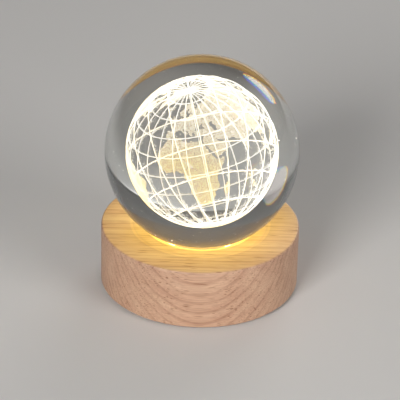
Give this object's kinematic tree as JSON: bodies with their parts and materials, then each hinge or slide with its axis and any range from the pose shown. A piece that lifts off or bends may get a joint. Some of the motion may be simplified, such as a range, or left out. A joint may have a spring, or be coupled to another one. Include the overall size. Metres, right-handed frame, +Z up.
{
  "type": "crystal ball lamp",
  "caption": "Table lamp: a solid glass ball with an engraved globe rests in the seat of a round wooden base that holds LEDs, a power inlet and a push button.",
  "frame": {"origin": "on the table under the middle of the lamp, at the bottom of the rubber feet", "axes": "+Z up through the middle of the ball and the base, +Y to the back, where the power inlet and the push button are, and +X to the right seen from the front; the grain of the wood runs along X"},
  "size_m": [0.0824, 0.0824, 0.1005],
  "materials": {
    "crystal": "polished clear",
    "engraving": "laser engraved, lit from below",
    "beech": "turned and oiled",
    "cover_plastic": "fine moulded texture",
    "foot_rubber": "matt",
    "screw_steel": "zinc plated",
    "led_board_mask": "white solder mask",
    "led_glow": "lit",
    "resistor": "satin",
    "power_board_mask": "green solder mask",
    "inlet_steel": "nickel plated",
    "inlet_nylon": "moulded",
    "switch_plastic": "moulded",
    "plunger_acetal": "moulded",
    "spring_steel": "drawn",
    "button_plastic": "satin moulded",
    "red_insulation": "extruded",
    "black_insulation": "extruded"
  },
  "bodies": {
    "base": {"wooden_base": "beech", "bottom_cover": "cover_plastic", "foot_1": "foot_rubber", "foot_2": "foot_rubber", "foot_3": "foot_rubber", "foot_4": "foot_rubber", "cover_screw_1": "screw_steel", "cover_screw_2": "screw_steel", "cover_screw_3": "screw_steel", "cover_screw_4": "screw_steel", "led_board": "led_board_mask", "led_1": "led_glow", "led_2": "led_glow", "led_3": "led_glow", "led_4": "led_glow", "led_5": "led_glow", "led_6": "led_glow", "led_resistor_1": "resistor", "led_resistor_2": "resistor", "led_resistor_3": "resistor", "led_board_screw_1": "screw_steel", "led_board_screw_2": "screw_steel", "led_board_screw_3": "screw_steel", "power_board": "power_board_mask", "power_board_screw_1": "screw_steel", "power_board_screw_2": "screw_steel", "inlet_shell": "inlet_steel", "inlet_tongue": "inlet_nylon", "switch_housing": "switch_plastic", "switch_spring": "spring_steel", "wire_red": "red_insulation", "wire_black": "black_insulation"},
    "ball": {"crystal_ball": "crystal", "engraved_globe": "engraving"},
    "button": {"button_cap": "button_plastic", "switch_plunger": "plunger_acetal"}
  },
  "joints": [
    {"name": "ball_lift", "type": "slide", "parent": "base", "child": "ball", "axis": [0, 0, 1], "range_m": [0, 0.05]},
    {"name": "power_button", "type": "slide", "parent": "base", "child": "button", "axis": [0, -1, 0], "range_m": [0, 0.0015], "stiffness_N_per_m": 900, "springref_m": -0.0008, "deforming": ["switch_spring"]}
  ]
}
